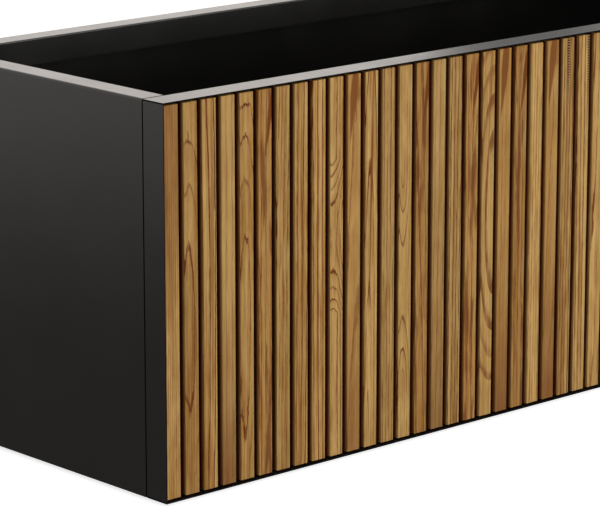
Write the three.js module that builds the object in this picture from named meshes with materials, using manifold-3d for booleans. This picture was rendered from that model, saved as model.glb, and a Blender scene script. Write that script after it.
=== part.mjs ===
// Sheet-metal planter with an open top and a cassette of upright wooden slats on its front.
// Millimetres, +Z up, the front faces -Y. The origin is on the floor, under the middle of the planter.

import * as THREE from 'three';
import { mergeVertices } from 'three/addons/utils/BufferGeometryUtils.js';
import Module from 'manifold-3d';

const wasm = await Module();
wasm.setup();

// Driving dimensions of the body
const LENGTH = 1324;
const DEPTH = 495;
const BODY_HEIGHT = 500; // bottom edge of the panels to the top of the rim
const FLOOR_GAP = 5; // floor to the bottom edge of the panels
const SHEET = 1.5;
const BEND_INNER = 0.5; // inner radius of the folds in the sheet
const RIM_BEND_INNER = 1.5; // the same, of the softer fold from the walls to the rim
const RIM_WIDTH = 36;
const LIP_HEIGHT = 35; // top of the rim to the bottom edge of the lip

// Clearances
const SEAT_GAP = 0.3; // between pieces that are welded, screwed or laid together
const THREAD_GAP = 0.3; // between a thread and the hole that it runs in
const HOLE_GAP = 0.6; // around a stud in a plain hole

// Front wall behind the cassette
const FRONT_WALL_DROP = 1.2; // underside of the rim to the top of the wall
const FRONT_WALL_RETURN = 20;
const HEM_HEIGHT = 12;
const HEM_GAP = 0.4; // inside the fold of the hem

// Base pan and foot channels
const BASE_LIFT = 30; // bottom edge of the panels to the top of the base
const BASE_SKIRT = 26;
const CHANNEL_SHEET = 2;
const CHANNEL_CROWN = 40;
const CHANNEL_BRIM = 14;
const CHANNEL_INSET = 200; // end of the planter to the middle of a channel
const CHANNEL_END_GAP = 8;

// Drain plug
const DRAIN_RADIUS = 13;
const PLUG_GAP = 0.4;
const PLUG_FLANGE = 5; // how far the flange reaches past the hole
const PLUG_FLANGE_HEIGHT = 2.5;
const PLUG_KNOB_RADIUS = 7;
const PLUG_KNOB_HEIGHT = 4;
const PLUG_STEM_DEPTH = 9;
const PLUG_BORE_RADIUS = 9;

// Levelling feet
const FOOT_INSET = 70; // outer face of the wall to the middle of a foot
const PAD_RADIUS = 20;
const PAD_HEIGHT = 8;
const PAD_CHAMFER = 1.5;
const PAD_TOP_RADIUS = 12;
const PAD_SHOULDER = 4; // height of the pad's upright edge
const STUD_RADIUS = 4;
const STUD_TOP_GAP = 1; // under the base, with the foot screwed right in
const FOOT_HEX = 13; // across the flats
const FOOT_HEX_HEIGHT = 4.5;
const WELD_NUT_HEIGHT = 6.5;

// Cassette of slats
const TRAY_DEPTH = 38.5;
const SEAM = 1; // between the cassette and the body
const SLAT_WIDTH = 22;
const SLAT_THICKNESS = 18;
const SLAT_PITCH_AIM = 30.1;
const SLAT_RECESS = 2; // edge of the tray to the face of a slat
const SLAT_SIDE_GAP = 1.5; // end slat to the tray's return
const SLAT_TOP_GAP = 2.6;
const SLAT_BOTTOM_GAP = 2.8;
const SLAT_ARRIS = 0.9; // width of the eased edge

// Rails behind the slats
const RAIL_SHEET = 1.5;
const RAIL_CROWN = 30;
const RAIL_BRIM = 12;
const RAIL_INSET = 80; // end of a slat to the middle of the outer rails
const RAIL_END_GAP = 2;

// Weld studs on the back of the tray, which hold the cassette
const WELD_STUD_RADIUS = 3;
const WELD_STUD_INSET = 60; // end of the planter to the outer studs
const WELD_STUD_REACH = 10; // how far a stud stands out inside the front wall

// Steps in round shapes
const BEND_STEPS = 5;
const ROUND_STEPS = 16;
const PAD_STEPS = 24;

// Places worked out from the driving dimensions
const LEFT = -LENGTH / 2;
const RIGHT = LENGTH / 2;
const FRONT = -DEPTH / 2;
const BACK = DEPTH / 2;
const BOTTOM = FLOOR_GAP;
const TOP = BOTTOM + BODY_HEIGHT;
const BEND_OUTER = BEND_INNER + SHEET;
const TRAY_BACK = FRONT + TRAY_DEPTH;
const BODY_FRONT = TRAY_BACK + SEAM;
const WALL_INSIDE = SHEET + SEAT_GAP; // outer face of a wall to what is fitted inside it
const FRONT_WALL_TOP = TOP - SHEET - FRONT_WALL_DROP;
const BASE_TOP = BOTTOM + BASE_LIFT;
const BASE_UNDERSIDE = BASE_TOP - SHEET;
const SLAT_BACK = FRONT + SLAT_RECESS + SLAT_THICKNESS;
const SLAT_LOW = BOTTOM + SHEET + SLAT_BOTTOM_GAP;
const SLAT_HIGH = TOP - SHEET - SLAT_TOP_GAP;
const CHANNEL_UNDERSIDE = PAD_HEIGHT + FOOT_HEX_HEIGHT + SEAT_GAP;
const CUT_MARGIN = 5; // how far a cutting shape reaches past what it cuts

// Booleans

function toSolid(geometry) {
  const bare = geometry.index ? geometry.toNonIndexed() : geometry.clone();
  bare.deleteAttribute('normal');
  bare.deleteAttribute('uv');
  const merged = mergeVertices(bare, 1e-4);
  return new wasm.Manifold(new wasm.Mesh({
    numProp: 3,
    vertProperties: new Float32Array(merged.attributes.position.array),
    triVerts: new Uint32Array(merged.index.array),
  }));
}

function toGeometry(solid) {
  const mesh = solid.getMesh();
  const geometry = new THREE.BufferGeometry();
  geometry.setAttribute('position', new THREE.BufferAttribute(mesh.vertProperties, mesh.numProp));
  geometry.setIndex(new THREE.BufferAttribute(mesh.triVerts, 1));
  geometry.computeVertexNormals();
  return geometry;
}

function join(...geometries) {
  return toGeometry(geometries.map(toSolid).reduce((whole, next) => whole.add(next)));
}

function cut(geometry, ...tools) {
  return toGeometry(tools.map(toSolid).reduce((rest, tool) => rest.subtract(tool), toSolid(geometry)));
}

// Basic shapes

function boxBetween(low, high) {
  const size = high.map((value, axis) => value - low[axis]);
  const middle = high.map((value, axis) => (value + low[axis]) / 2);
  return new THREE.BoxGeometry(...size).translate(...middle);
}

function extrudeOutline(points, depth) {
  const shape = new THREE.Shape(points.map(([u, v]) => new THREE.Vector2(u, v)));
  return new THREE.ExtrudeGeometry(shape, { depth, bevelEnabled: false });
}

// An outline in Y and Z, run along X
function extrudeX(points, from, to) {
  const turn = new THREE.Matrix4().set(0, 0, 1, from, 1, 0, 0, 0, 0, 1, 0, 0, 0, 0, 0, 1);
  return extrudeOutline(points, to - from).applyMatrix4(turn);
}

// An outline in X and Z, run along Y
function extrudeY(points, from, to) {
  return extrudeOutline(points, to - from).rotateX(Math.PI / 2).translate(0, to, 0);
}

// An outline in X and Y, run along Z
function extrudeZ(points, from, to) {
  return extrudeOutline(points, to - from).translate(0, 0, from);
}

// A cylinder along Z, or with six steps a hexagonal bar
function barZ(radius, from, to, steps = ROUND_STEPS) {
  const height = to - from;
  const bar = new THREE.CylinderGeometry(radius, radius, height, steps);
  return bar.rotateX(Math.PI / 2).translate(0, 0, from + height / 2);
}

// The same along Y
function barY(radius, from, to, steps = ROUND_STEPS) {
  return barZ(radius, from, to, steps).rotateX(-Math.PI / 2);
}

function hexagonRadius(acrossFlats) {
  return acrossFlats / Math.sqrt(3);
}

// A turned shape about Z from points of radius and height
function turned(points, steps = ROUND_STEPS) {
  const profile = points.map(([radius, height]) => new THREE.Vector2(radius, height));
  return new THREE.LatheGeometry(profile, steps).rotateX(Math.PI / 2);
}

// Outline of a folded sheet. The path runs along the middle of the sheet, from fold to fold, and a point of
// it may name the radius of its own fold.
function foldedSheet(path, thickness = SHEET, bendRadius = BEND_INNER + thickness / 2) {
  const corners = path.map(([u, v]) => new THREE.Vector2(u, v));
  const samples = [];
  const addSample = (point, direction) => {
    const side = new THREE.Vector2(-direction.y, direction.x).multiplyScalar(thickness / 2);
    samples.push([point, side]);
  };
  corners.forEach((corner, index) => {
    const before = index > 0 ? corner.clone().sub(corners[index - 1]).normalize() : null;
    const after = index < corners.length - 1 ? corners[index + 1].clone().sub(corner).normalize() : null;
    if (!before || !after) {
      addSample(corner, before ?? after);
      return;
    }
    const turn = Math.atan2(before.cross(after), before.dot(after));
    const radius = path[index][2] ?? bendRadius;
    const start = corner.clone().addScaledVector(before, -radius * Math.tan(Math.abs(turn) / 2));
    const towards = new THREE.Vector2(-before.y, before.x).multiplyScalar(Math.sign(turn) * radius);
    const centre = start.clone().add(towards);
    for (let step = 0; step <= BEND_STEPS; step += 1) {
      const angle = turn * step / BEND_STEPS;
      const onArc = start.clone().rotateAround(centre, angle);
      addSample(onArc, before.clone().rotateAround(new THREE.Vector2(), angle));
    }
  });
  const leftSide = samples.map(([point, side]) => [point.x + side.x, point.y + side.y]);
  const rightSide = samples.map(([point, side]) => [point.x - side.x, point.y - side.y]);
  return [...leftSide, ...rightSide.reverse()];
}

// Body

// Wall, rim and lip in one fold: u runs inwards from the outer face of the wall, v is height
function rimFold() {
  const half = SHEET / 2;
  return [
    [half, BOTTOM],
    [half, TOP - half, RIM_BEND_INNER + half],
    [RIM_WIDTH - half, TOP - half],
    [RIM_WIDTH - half, TOP - LIP_HEIGHT],
  ];
}

// Upright prism that trims a back corner to its mitre line. side is -1 left and 1 right.
// u runs inwards from the end of the planter and v backwards from its back face.
function mitreTool(side, trimmed) {
  const reach = RIM_WIDTH + CUT_MARGIN;
  const shift = SEAT_GAP / Math.SQRT2 * (trimmed === 'end' ? -1 : 1);
  const waste = trimmed === 'end' ? [reach, CUT_MARGIN] : [-CUT_MARGIN, -reach];
  const corners = [[-CUT_MARGIN, CUT_MARGIN + shift], [reach, -reach + shift], waste];
  const points = corners.map(([u, v]) => [side * (LENGTH / 2 - u), BACK + v]);
  return extrudeZ(points, BOTTOM - CUT_MARGIN, TOP + CUT_MARGIN);
}

function endPanel(side) {
  const outer = side * LENGTH / 2;
  const path = rimFold().map(([u, v, bend]) => [outer - side * u, v, bend]);
  const panel = extrudeY(foldedSheet(path), BODY_FRONT, BACK);
  const lipEdges = [outer - side * (SHEET + SEAT_GAP), outer - side * (RIM_WIDTH + CUT_MARGIN)];
  const lipNotch = boxBetween(
    [Math.min(...lipEdges), BODY_FRONT - CUT_MARGIN, TOP - LIP_HEIGHT - CUT_MARGIN],
    [Math.max(...lipEdges), BODY_FRONT + SHEET * 2 + HEM_GAP + SEAT_GAP, FRONT_WALL_TOP + SEAT_GAP],
  );
  return cut(panel, lipNotch, mitreTool(side, 'end'));
}

function backPanel() {
  const path = rimFold().map(([u, v, bend]) => [BACK - u, v, bend]);
  const panel = extrudeX(foldedSheet(path), LEFT, RIGHT);
  return cut(panel, mitreTool(-1, 'back'), mitreTool(1, 'back'));
}

// Middles of the lower, middle and upper slat rail
function railHeights() {
  const low = SLAT_LOW + RAIL_INSET;
  const high = SLAT_HIGH - RAIL_INSET;
  return { lower: low, middle: (low + high) / 2, upper: high };
}

// Two rows of three weld studs, halfway between the rails. Upright bars of any radius at their places.
function weldStudBars(radius, from, to) {
  const rails = railHeights();
  const heights = [(rails.lower + rails.middle) / 2, (rails.middle + rails.upper) / 2];
  const middles = [LEFT + WELD_STUD_INSET, 0, RIGHT - WELD_STUD_INSET];
  return heights.flatMap((z) => middles.map((x) => barY(radius, from, to).translate(x, 0, z)));
}

function frontWall() {
  const half = SHEET / 2;
  const side = RIGHT - WALL_INSIDE;
  const hemFold = [
    [BODY_FRONT + half, BASE_TOP - BEND_OUTER - CUT_MARGIN],
    [BODY_FRONT + half, FRONT_WALL_TOP - half],
    [BODY_FRONT + half + SHEET + HEM_GAP, FRONT_WALL_TOP - half],
    [BODY_FRONT + half + SHEET + HEM_GAP, FRONT_WALL_TOP - HEM_HEIGHT],
  ];
  const hemRadius = (SHEET + HEM_GAP) / 2;
  const web = extrudeX(foldedSheet(hemFold, SHEET, hemRadius), BEND_OUTER - side, side - BEND_OUTER);
  const foot = boxBetween(
    [-side, BODY_FRONT, BOTTOM],
    [side, BODY_FRONT + SHEET, BASE_TOP - BEND_OUTER],
  );
  const returns = [-1, 1].map((sign) => {
    const fold = [
      [sign * (side - half), BODY_FRONT + FRONT_WALL_RETURN],
      [sign * (side - half), BODY_FRONT + half],
      [sign * (side - BEND_OUTER - CUT_MARGIN), BODY_FRONT + half],
    ];
    return extrudeZ(foldedSheet(fold), BASE_TOP + SEAT_GAP, FRONT_WALL_TOP);
  });
  const wall = join(web, foot, ...returns);
  const behind = BODY_FRONT + SHEET + CUT_MARGIN;
  return cut(wall, ...weldStudBars(WELD_STUD_RADIUS + HOLE_GAP, BODY_FRONT - CUT_MARGIN, behind));
}

function basePan() {
  const half = SHEET / 2;
  const side = RIGHT - WALL_INSIDE;
  const front = BODY_FRONT + WALL_INSIDE;
  const back = BACK - WALL_INSIDE;
  const downFold = (low, high) => foldedSheet([
    [low + half, BASE_TOP - BASE_SKIRT],
    [low + half, BASE_TOP - half],
    [high - half, BASE_TOP - half],
    [high - half, BASE_TOP - BASE_SKIRT],
  ]);
  const pan = join(
    extrudeY(downFold(-side, side), front + BEND_OUTER, back - BEND_OUTER),
    extrudeX(downFold(front, back), BEND_OUTER - side, side - BEND_OUTER),
  );
  const drain = barZ(DRAIN_RADIUS, BASE_UNDERSIDE - CUT_MARGIN, BASE_TOP + CUT_MARGIN, PAD_STEPS);
  return cut(pan, drain);
}

// Round plug that hangs in the drain hole by its flange
function drainPlug() {
  const seat = SEAT_GAP;
  const flangeTop = seat + PLUG_FLANGE_HEIGHT;
  const stem = DRAIN_RADIUS - PLUG_GAP;
  const low = -SHEET - PLUG_STEM_DEPTH;
  return turned([
    [0, 0],
    [PLUG_BORE_RADIUS, 0],
    [PLUG_BORE_RADIUS, low],
    [stem, low],
    [stem, seat],
    [DRAIN_RADIUS + PLUG_FLANGE, seat],
    [DRAIN_RADIUS + PLUG_FLANGE, flangeTop],
    [PLUG_KNOB_RADIUS, flangeTop],
    [PLUG_KNOB_RADIUS, flangeTop + PLUG_KNOB_HEIGHT],
    [0, flangeTop + PLUG_KNOB_HEIGHT],
  ], PAD_STEPS);
}

// Feet

function footDepths() {
  return { front: BODY_FRONT + FOOT_INSET, back: BACK - FOOT_INSET };
}

// Hat-shaped channel under the base, with a weld nut over each foot
function footChannel() {
  const half = CHANNEL_SHEET / 2;
  const crown = CHANNEL_UNDERSIDE + half;
  const brim = BASE_UNDERSIDE - SEAT_GAP - half;
  const web = CHANNEL_CROWN / 2 - half;
  const hat = foldedSheet([
    [-web - CHANNEL_BRIM, brim],
    [-web, brim],
    [-web, crown],
    [web, crown],
    [web, brim],
    [web + CHANNEL_BRIM, brim],
  ], CHANNEL_SHEET);
  const endGap = WALL_INSIDE + SHEET + CHANNEL_END_GAP;
  const channel = extrudeY(hat, BODY_FRONT + endGap, BACK - endGap);
  const crownTop = CHANNEL_UNDERSIDE + CHANNEL_SHEET;
  const nutTop = crownTop + WELD_NUT_HEIGHT;
  const depths = Object.values(footDepths());
  const nuts = depths.map((y) => barZ(hexagonRadius(FOOT_HEX), crownTop - half, nutTop, 6).translate(0, y, 0));
  const drill = barZ(STUD_RADIUS + THREAD_GAP, CHANNEL_UNDERSIDE - CUT_MARGIN, nutTop + CUT_MARGIN);
  return cut(join(channel, ...nuts), ...depths.map((y) => drill.clone().translate(0, y, 0)));
}

// Screwed right in: a round pad moulded onto a stud, with a hexagon to turn it by
function levellingFoot() {
  const pad = turned([
    [0, 0],
    [PAD_RADIUS - PAD_CHAMFER, 0],
    [PAD_RADIUS, PAD_CHAMFER],
    [PAD_RADIUS, PAD_SHOULDER],
    [PAD_TOP_RADIUS, PAD_HEIGHT],
    [0, PAD_HEIGHT],
  ], PAD_STEPS);
  const hexagon = barZ(hexagonRadius(FOOT_HEX), PAD_SHOULDER, PAD_HEIGHT + FOOT_HEX_HEIGHT, 6);
  return join(pad, hexagon, barZ(STUD_RADIUS, PAD_HEIGHT, BASE_UNDERSIDE - STUD_TOP_GAP));
}

// Cassette

// A tray of one sheet with weld studs on its back. The top and bottom flanges run over the ends of the
// side returns.
function cassetteTray() {
  const half = SHEET / 2;
  const flangeFold = [
    [FRONT, TOP - half],
    [TRAY_BACK - half, TOP - half],
    [TRAY_BACK - half, BOTTOM + half],
    [FRONT, BOTTOM + half],
  ];
  const flanges = extrudeX(foldedSheet(flangeFold), LEFT, RIGHT);
  const reliefs = [-1, 1].map((sign) => {
    const edges = [sign * (RIGHT - BEND_OUTER), sign * (RIGHT + CUT_MARGIN)];
    return boxBetween(
      [Math.min(...edges), FRONT - CUT_MARGIN, BOTTOM + SHEET],
      [Math.max(...edges), TRAY_BACK + CUT_MARGIN, TOP - SHEET],
    );
  });
  const returns = [-1, 1].map((sign) => {
    const fold = [
      [sign * (RIGHT - half), FRONT],
      [sign * (RIGHT - half), TRAY_BACK - half],
      [sign * (RIGHT - BEND_OUTER - CUT_MARGIN), TRAY_BACK - half],
    ];
    return extrudeZ(foldedSheet(fold), BOTTOM + BEND_OUTER, TOP - BEND_OUTER);
  });
  const studs = weldStudBars(WELD_STUD_RADIUS, TRAY_BACK - half, BODY_FRONT + SHEET + WELD_STUD_REACH);
  return join(cut(flanges, ...reliefs), ...returns, ...studs);
}

// Upright slat with eased edges. Its own origin is the middle of its face, at the lower end.
function slat() {
  const half = SLAT_WIDTH / 2;
  const outline = [
    [half - SLAT_ARRIS, 0],
    [half, SLAT_ARRIS],
    [half, SLAT_THICKNESS - SLAT_ARRIS],
    [half - SLAT_ARRIS, SLAT_THICKNESS],
    [SLAT_ARRIS - half, SLAT_THICKNESS],
    [-half, SLAT_THICKNESS - SLAT_ARRIS],
    [-half, SLAT_ARRIS],
    [SLAT_ARRIS - half, 0],
  ];
  return extrudeZ(outline, 0, SLAT_HIGH - SLAT_LOW);
}

// Middles of the slats, spread evenly between the returns of the tray
function slatPlaces() {
  const first = LEFT + SHEET + SLAT_SIDE_GAP + SLAT_WIDTH / 2;
  const run = -2 * first;
  const gaps = Math.round(run / SLAT_PITCH_AIM);
  return Array.from({ length: gaps + 1 }, (_, index) => first + index * run / gaps);
}

// Hat-shaped rail. Its own origin is the middle of its height.
function slatRail() {
  const half = RAIL_SHEET / 2;
  const brim = TRAY_BACK - SHEET - SEAT_GAP - half;
  const crown = SLAT_BACK + SEAT_GAP + half;
  const web = RAIL_CROWN / 2 - half;
  const hat = foldedSheet([
    [brim, -web - RAIL_BRIM],
    [brim, -web],
    [crown, -web],
    [crown, web],
    [brim, web],
    [brim, web + RAIL_BRIM],
  ], RAIL_SHEET);
  const end = RIGHT - SHEET - RAIL_END_GAP;
  return extrudeX(hat, -end, end);
}

// Materials

function powderCoat() {
  return new THREE.MeshStandardMaterial({ color: 0x1d1e20, roughness: 0.42, metalness: 0 });
}

function galvanisedSteel() {
  return new THREE.MeshStandardMaterial({ color: 0x9ea3a6, roughness: 0.45, metalness: 1 });
}

function oiledWood() {
  return new THREE.MeshStandardMaterial({ color: 0xb08850, roughness: 0.6, metalness: 0 });
}

function blackRubber() {
  return new THREE.MeshStandardMaterial({ color: 0x17171a, roughness: 0.75, metalness: 0 });
}

function blackNylon() {
  return new THREE.MeshStandardMaterial({ color: 0x1b1b1d, roughness: 0.5, metalness: 0 });
}

// Assembly

function part(name, geometry, material, place = [0, 0, 0]) {
  const mesh = new THREE.Mesh(geometry, material);
  mesh.name = name;
  mesh.position.set(...place);
  return mesh;
}

const planter = new THREE.Group();

const body = new THREE.Group();
body.add(part('left_end_panel', endPanel(-1), powderCoat()));
body.add(part('right_end_panel', endPanel(1), powderCoat()));
body.add(part('back_panel', backPanel(), powderCoat()));
body.add(part('front_wall', frontWall(), powderCoat()));
body.add(part('base_pan', basePan(), powderCoat()));
body.add(part('drain_plug', drainPlug(), blackRubber(), [0, 0, BASE_TOP]));
planter.add(body);

const channelPlaces = { left: LEFT + CHANNEL_INSET, right: RIGHT - CHANNEL_INSET };
for (const [side, x] of Object.entries(channelPlaces)) {
  const underframe = new THREE.Group();
  underframe.position.x = x;
  underframe.add(part(`foot_channel_${side}`, footChannel(), galvanisedSteel()));
  for (const [end, y] of Object.entries(footDepths())) {
    underframe.add(part(`levelling_foot_${end}_${side}`, levellingFoot(), blackNylon(), [0, y, 0]));
  }
  planter.add(underframe);
}

const cassette = new THREE.Group();
cassette.add(part('cassette_tray', cassetteTray(), powderCoat()));
for (const [level, height] of Object.entries(railHeights())) {
  cassette.add(part(`slat_rail_${level}`, slatRail(), powderCoat(), [0, 0, height]));
}
slatPlaces().forEach((x, index) => {
  const name = `slat_${String(index + 1).padStart(2, '0')}`;
  cassette.add(part(name, slat(), oiledWood(), [x, FRONT + SLAT_RECESS, SLAT_LOW]));
});
planter.add(cassette);

export default planter;
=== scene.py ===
"""Looks of a sheet-metal planter with a cassette of upright wooden slats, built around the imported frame.

Metres, +Z up, the slatted front faces -Y. The origin is on the floor, under the middle of the planter.
"""

import math

import bmesh
import bpy
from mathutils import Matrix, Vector


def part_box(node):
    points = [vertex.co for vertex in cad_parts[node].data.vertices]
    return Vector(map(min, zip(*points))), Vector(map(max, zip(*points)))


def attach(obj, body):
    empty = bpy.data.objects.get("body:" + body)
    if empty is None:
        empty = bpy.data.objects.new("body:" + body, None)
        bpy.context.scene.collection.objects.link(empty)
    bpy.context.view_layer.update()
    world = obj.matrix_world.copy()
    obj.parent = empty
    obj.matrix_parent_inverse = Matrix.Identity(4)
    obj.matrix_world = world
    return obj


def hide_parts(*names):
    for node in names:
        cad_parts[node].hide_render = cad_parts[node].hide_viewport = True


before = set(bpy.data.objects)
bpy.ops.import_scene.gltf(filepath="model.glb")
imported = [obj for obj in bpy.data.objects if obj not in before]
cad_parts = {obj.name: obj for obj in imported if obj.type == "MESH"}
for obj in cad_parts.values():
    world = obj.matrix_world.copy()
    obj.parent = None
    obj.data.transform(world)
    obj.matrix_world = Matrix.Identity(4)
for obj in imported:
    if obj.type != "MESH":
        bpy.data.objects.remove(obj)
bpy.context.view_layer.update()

MM = 0.001

# Choosing and shaping


def deselect_all():
    bpy.ops.object.select_all(action="DESELECT")


def pick_up(piece):
    """Selects one piece alone."""
    deselect_all()
    bpy.context.view_layer.objects.active = piece
    piece.select_set(True)


def open_piece(piece, parts="EDGE"):
    """Opens a piece in edit mode with nothing chosen."""
    pick_up(piece)
    bpy.ops.object.mode_set(mode="EDIT")
    bpy.ops.mesh.select_mode(type=parts)
    choose_none()


def close_piece():
    bpy.ops.object.mode_set(mode="OBJECT")


def choose_all():
    bpy.ops.mesh.select_all(action="SELECT")


def choose_none():
    bpy.ops.mesh.select_all(action="DESELECT")


def choose_faces(piece, wanted):
    """Chooses the faces for which wanted(middle, normal) is true."""
    for face in bmesh.from_edit_mesh(piece.data).faces:
        if wanted(face.calc_center_median(), face.normal):
            face.select_set(True)
    bmesh.update_edit_mesh(piece.data)


def choose_edges(piece, wanted, sharper_than=0.0):
    """Chooses the edges, bent by more than an angle, for which wanted(one end, other end) is true."""
    for edge in bmesh.from_edit_mesh(piece.data).edges:
        turn = edge.calc_face_angle(math.pi) if len(edge.link_faces) == 2 else math.pi
        if turn > sharper_than and wanted(edge.verts[0].co, edge.verts[1].co):
            edge.select_set(True)
    bmesh.update_edit_mesh(piece.data)


def settle(piece, name):
    """Names a piece and puts its place into its mesh."""
    pick_up(piece)
    bpy.ops.object.transform_apply(location=True, rotation=True, scale=True)
    piece.name = name
    piece.data.name = name
    return piece


def apply_modifier(piece, kind, **settings):
    modifier = piece.modifiers.new(kind.lower(), kind)
    for key, value in settings.items():
        setattr(modifier, key, value)
    pick_up(piece)
    bpy.ops.object.modifier_apply(modifier=modifier.name)


def smooth(piece, angle=32):
    """Rounded edges shade smoothly while the flats stay flat."""
    pick_up(piece)
    bpy.ops.object.shade_smooth_by_angle(angle=math.radians(angle))
    apply_modifier(piece, "WEIGHTED_NORMAL", keep_sharp=True, weight=100)


def copy_of(piece, name, shift):
    """A copy with its own mesh, moved by shift."""
    pick_up(piece)
    bpy.ops.object.duplicate(linked=False)
    twin = bpy.context.view_layer.objects.active
    bpy.ops.transform.translate(value=shift)
    return settle(twin, name)


def dress(piece, body, material):
    """Hands a piece to its CAD body and its material."""
    if not piece.data.materials:
        piece.data.materials.append(material)
    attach(piece, body)


# Materials


def linear(hex_colour):
    """An sRGB hex colour as linear RGBA."""
    channels = [int(hex_colour[start:start + 2], 16) / 255 for start in (1, 3, 5)]
    return [c / 12.92 if c <= 0.04045 else ((c + 0.055) / 1.055) ** 2.4 for c in channels] + [1.0]


def add_node(tree, kind, inputs=None, **settings):
    """Adds a node with its settings. An input that is a socket or a node is linked, a node by its first
    output, and any other input is set to that value."""
    node = tree.nodes.new("ShaderNode" + kind)
    for key, value in settings.items():
        setattr(node, key, value)
    for key, value in (inputs or {}).items():
        source = value.outputs[0] if isinstance(value, bpy.types.Node) else value
        if isinstance(source, bpy.types.NodeSocket):
            tree.links.new(source, node.inputs[key])
        else:
            node.inputs[key].default_value = source
    return node


def new_material(name):
    """A material with an empty node tree."""
    material = bpy.data.materials.new(name)
    material.use_nodes = True
    material.node_tree.nodes.clear()
    return material, material.node_tree


def per_metre(size):
    """Scale of a pattern in metres whose marks are size millimetres across."""
    return 1 / (size * MM)


COLOURS = 2  # output of a Mix node that carries mixed colours; its inputs 6 and 7 are the two colours
NOISE_SPAN = {"From Min": 0.3, "From Max": 0.7}  # nearly all of a noise texture lies between these


def powder_coat_on_sheet():
    """Polyester powder coat, baked on steel sheet: a warm near black, satin to glossy, with the slight
    waves that the powder leaves as it flows out."""
    material, tree = new_material("powder_coat_baked_on_steel_sheet")
    place = add_node(tree, "TexCoord").outputs["Object"]
    cloud = add_node(tree, "TexNoise", {"Vector": place, "Scale": per_metre(90), "Detail": 3})
    flow = add_node(tree, "TexNoise", {"Vector": place, "Scale": per_metre(9), "Detail": 1})
    colours = {0: cloud, 6: linear("#181716"), 7: linear("#1B1A18")}
    colour = add_node(tree, "Mix", colours, data_type="RGBA").outputs[COLOURS]
    cloudy = add_node(tree, "MapRange", {"Value": cloud, **NOISE_SPAN, "To Min": 0.2, "To Max": 0.25})
    gloss = add_node(tree, "Math", {0: flow, 1: 0.03, 2: cloudy}, operation="MULTIPLY_ADD")
    waves = add_node(tree, "Bump", {"Height": flow, "Distance": 0.008 * MM, "Strength": 1.0})
    surface = {"Base Color": colour, "Roughness": gloss, "IOR": 1.5, "Normal": waves}
    add_node(tree, "OutputMaterial", {0: add_node(tree, "BsdfPrincipled", surface)})
    return material


def powder_coat_on_cut_edge():
    """The same powder coat on a laser-cut edge: rough and dull where it is drawn thin, and painted near
    black as shade.
    """
    material, tree = new_material("powder_coat_drawn_thin_over_cut_edge")
    place = add_node(tree, "TexCoord").outputs["Object"]
    ripple = add_node(tree, "TexNoise", {"Vector": place, "Scale": per_metre(1.4), "Detail": 2})
    # Painted shade: near black, darker than the coat, for the shadow lines along the cut edges
    colours = {0: ripple, 6: linear("#060606"), 7: linear("#0A0A0A")}
    colour = add_node(tree, "Mix", colours, data_type="RGBA").outputs[COLOURS]
    dull = add_node(tree, "MapRange", {"Value": ripple, **NOISE_SPAN, "To Min": 0.6, "To Max": 0.75})
    rough = add_node(tree, "Bump", {"Height": ripple, "Distance": 0.03 * MM, "Strength": 1.0})
    surface = {"Base Color": colour, "Roughness": dull, "Specular IOR Level": 0.05, "Normal": rough}
    add_node(tree, "OutputMaterial", {0: add_node(tree, "BsdfPrincipled", surface)})
    return material


SLAT_MIDDLE = 255  # mm above the floor
SLAT_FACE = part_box("slat_01")[0].y / MM
LATE_END = 0.95  # share of a ring at which its latewood ends
RESIN_DOT = 3.6  # mm from one dot of resin to the next, in a spindle that is broken up


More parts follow.
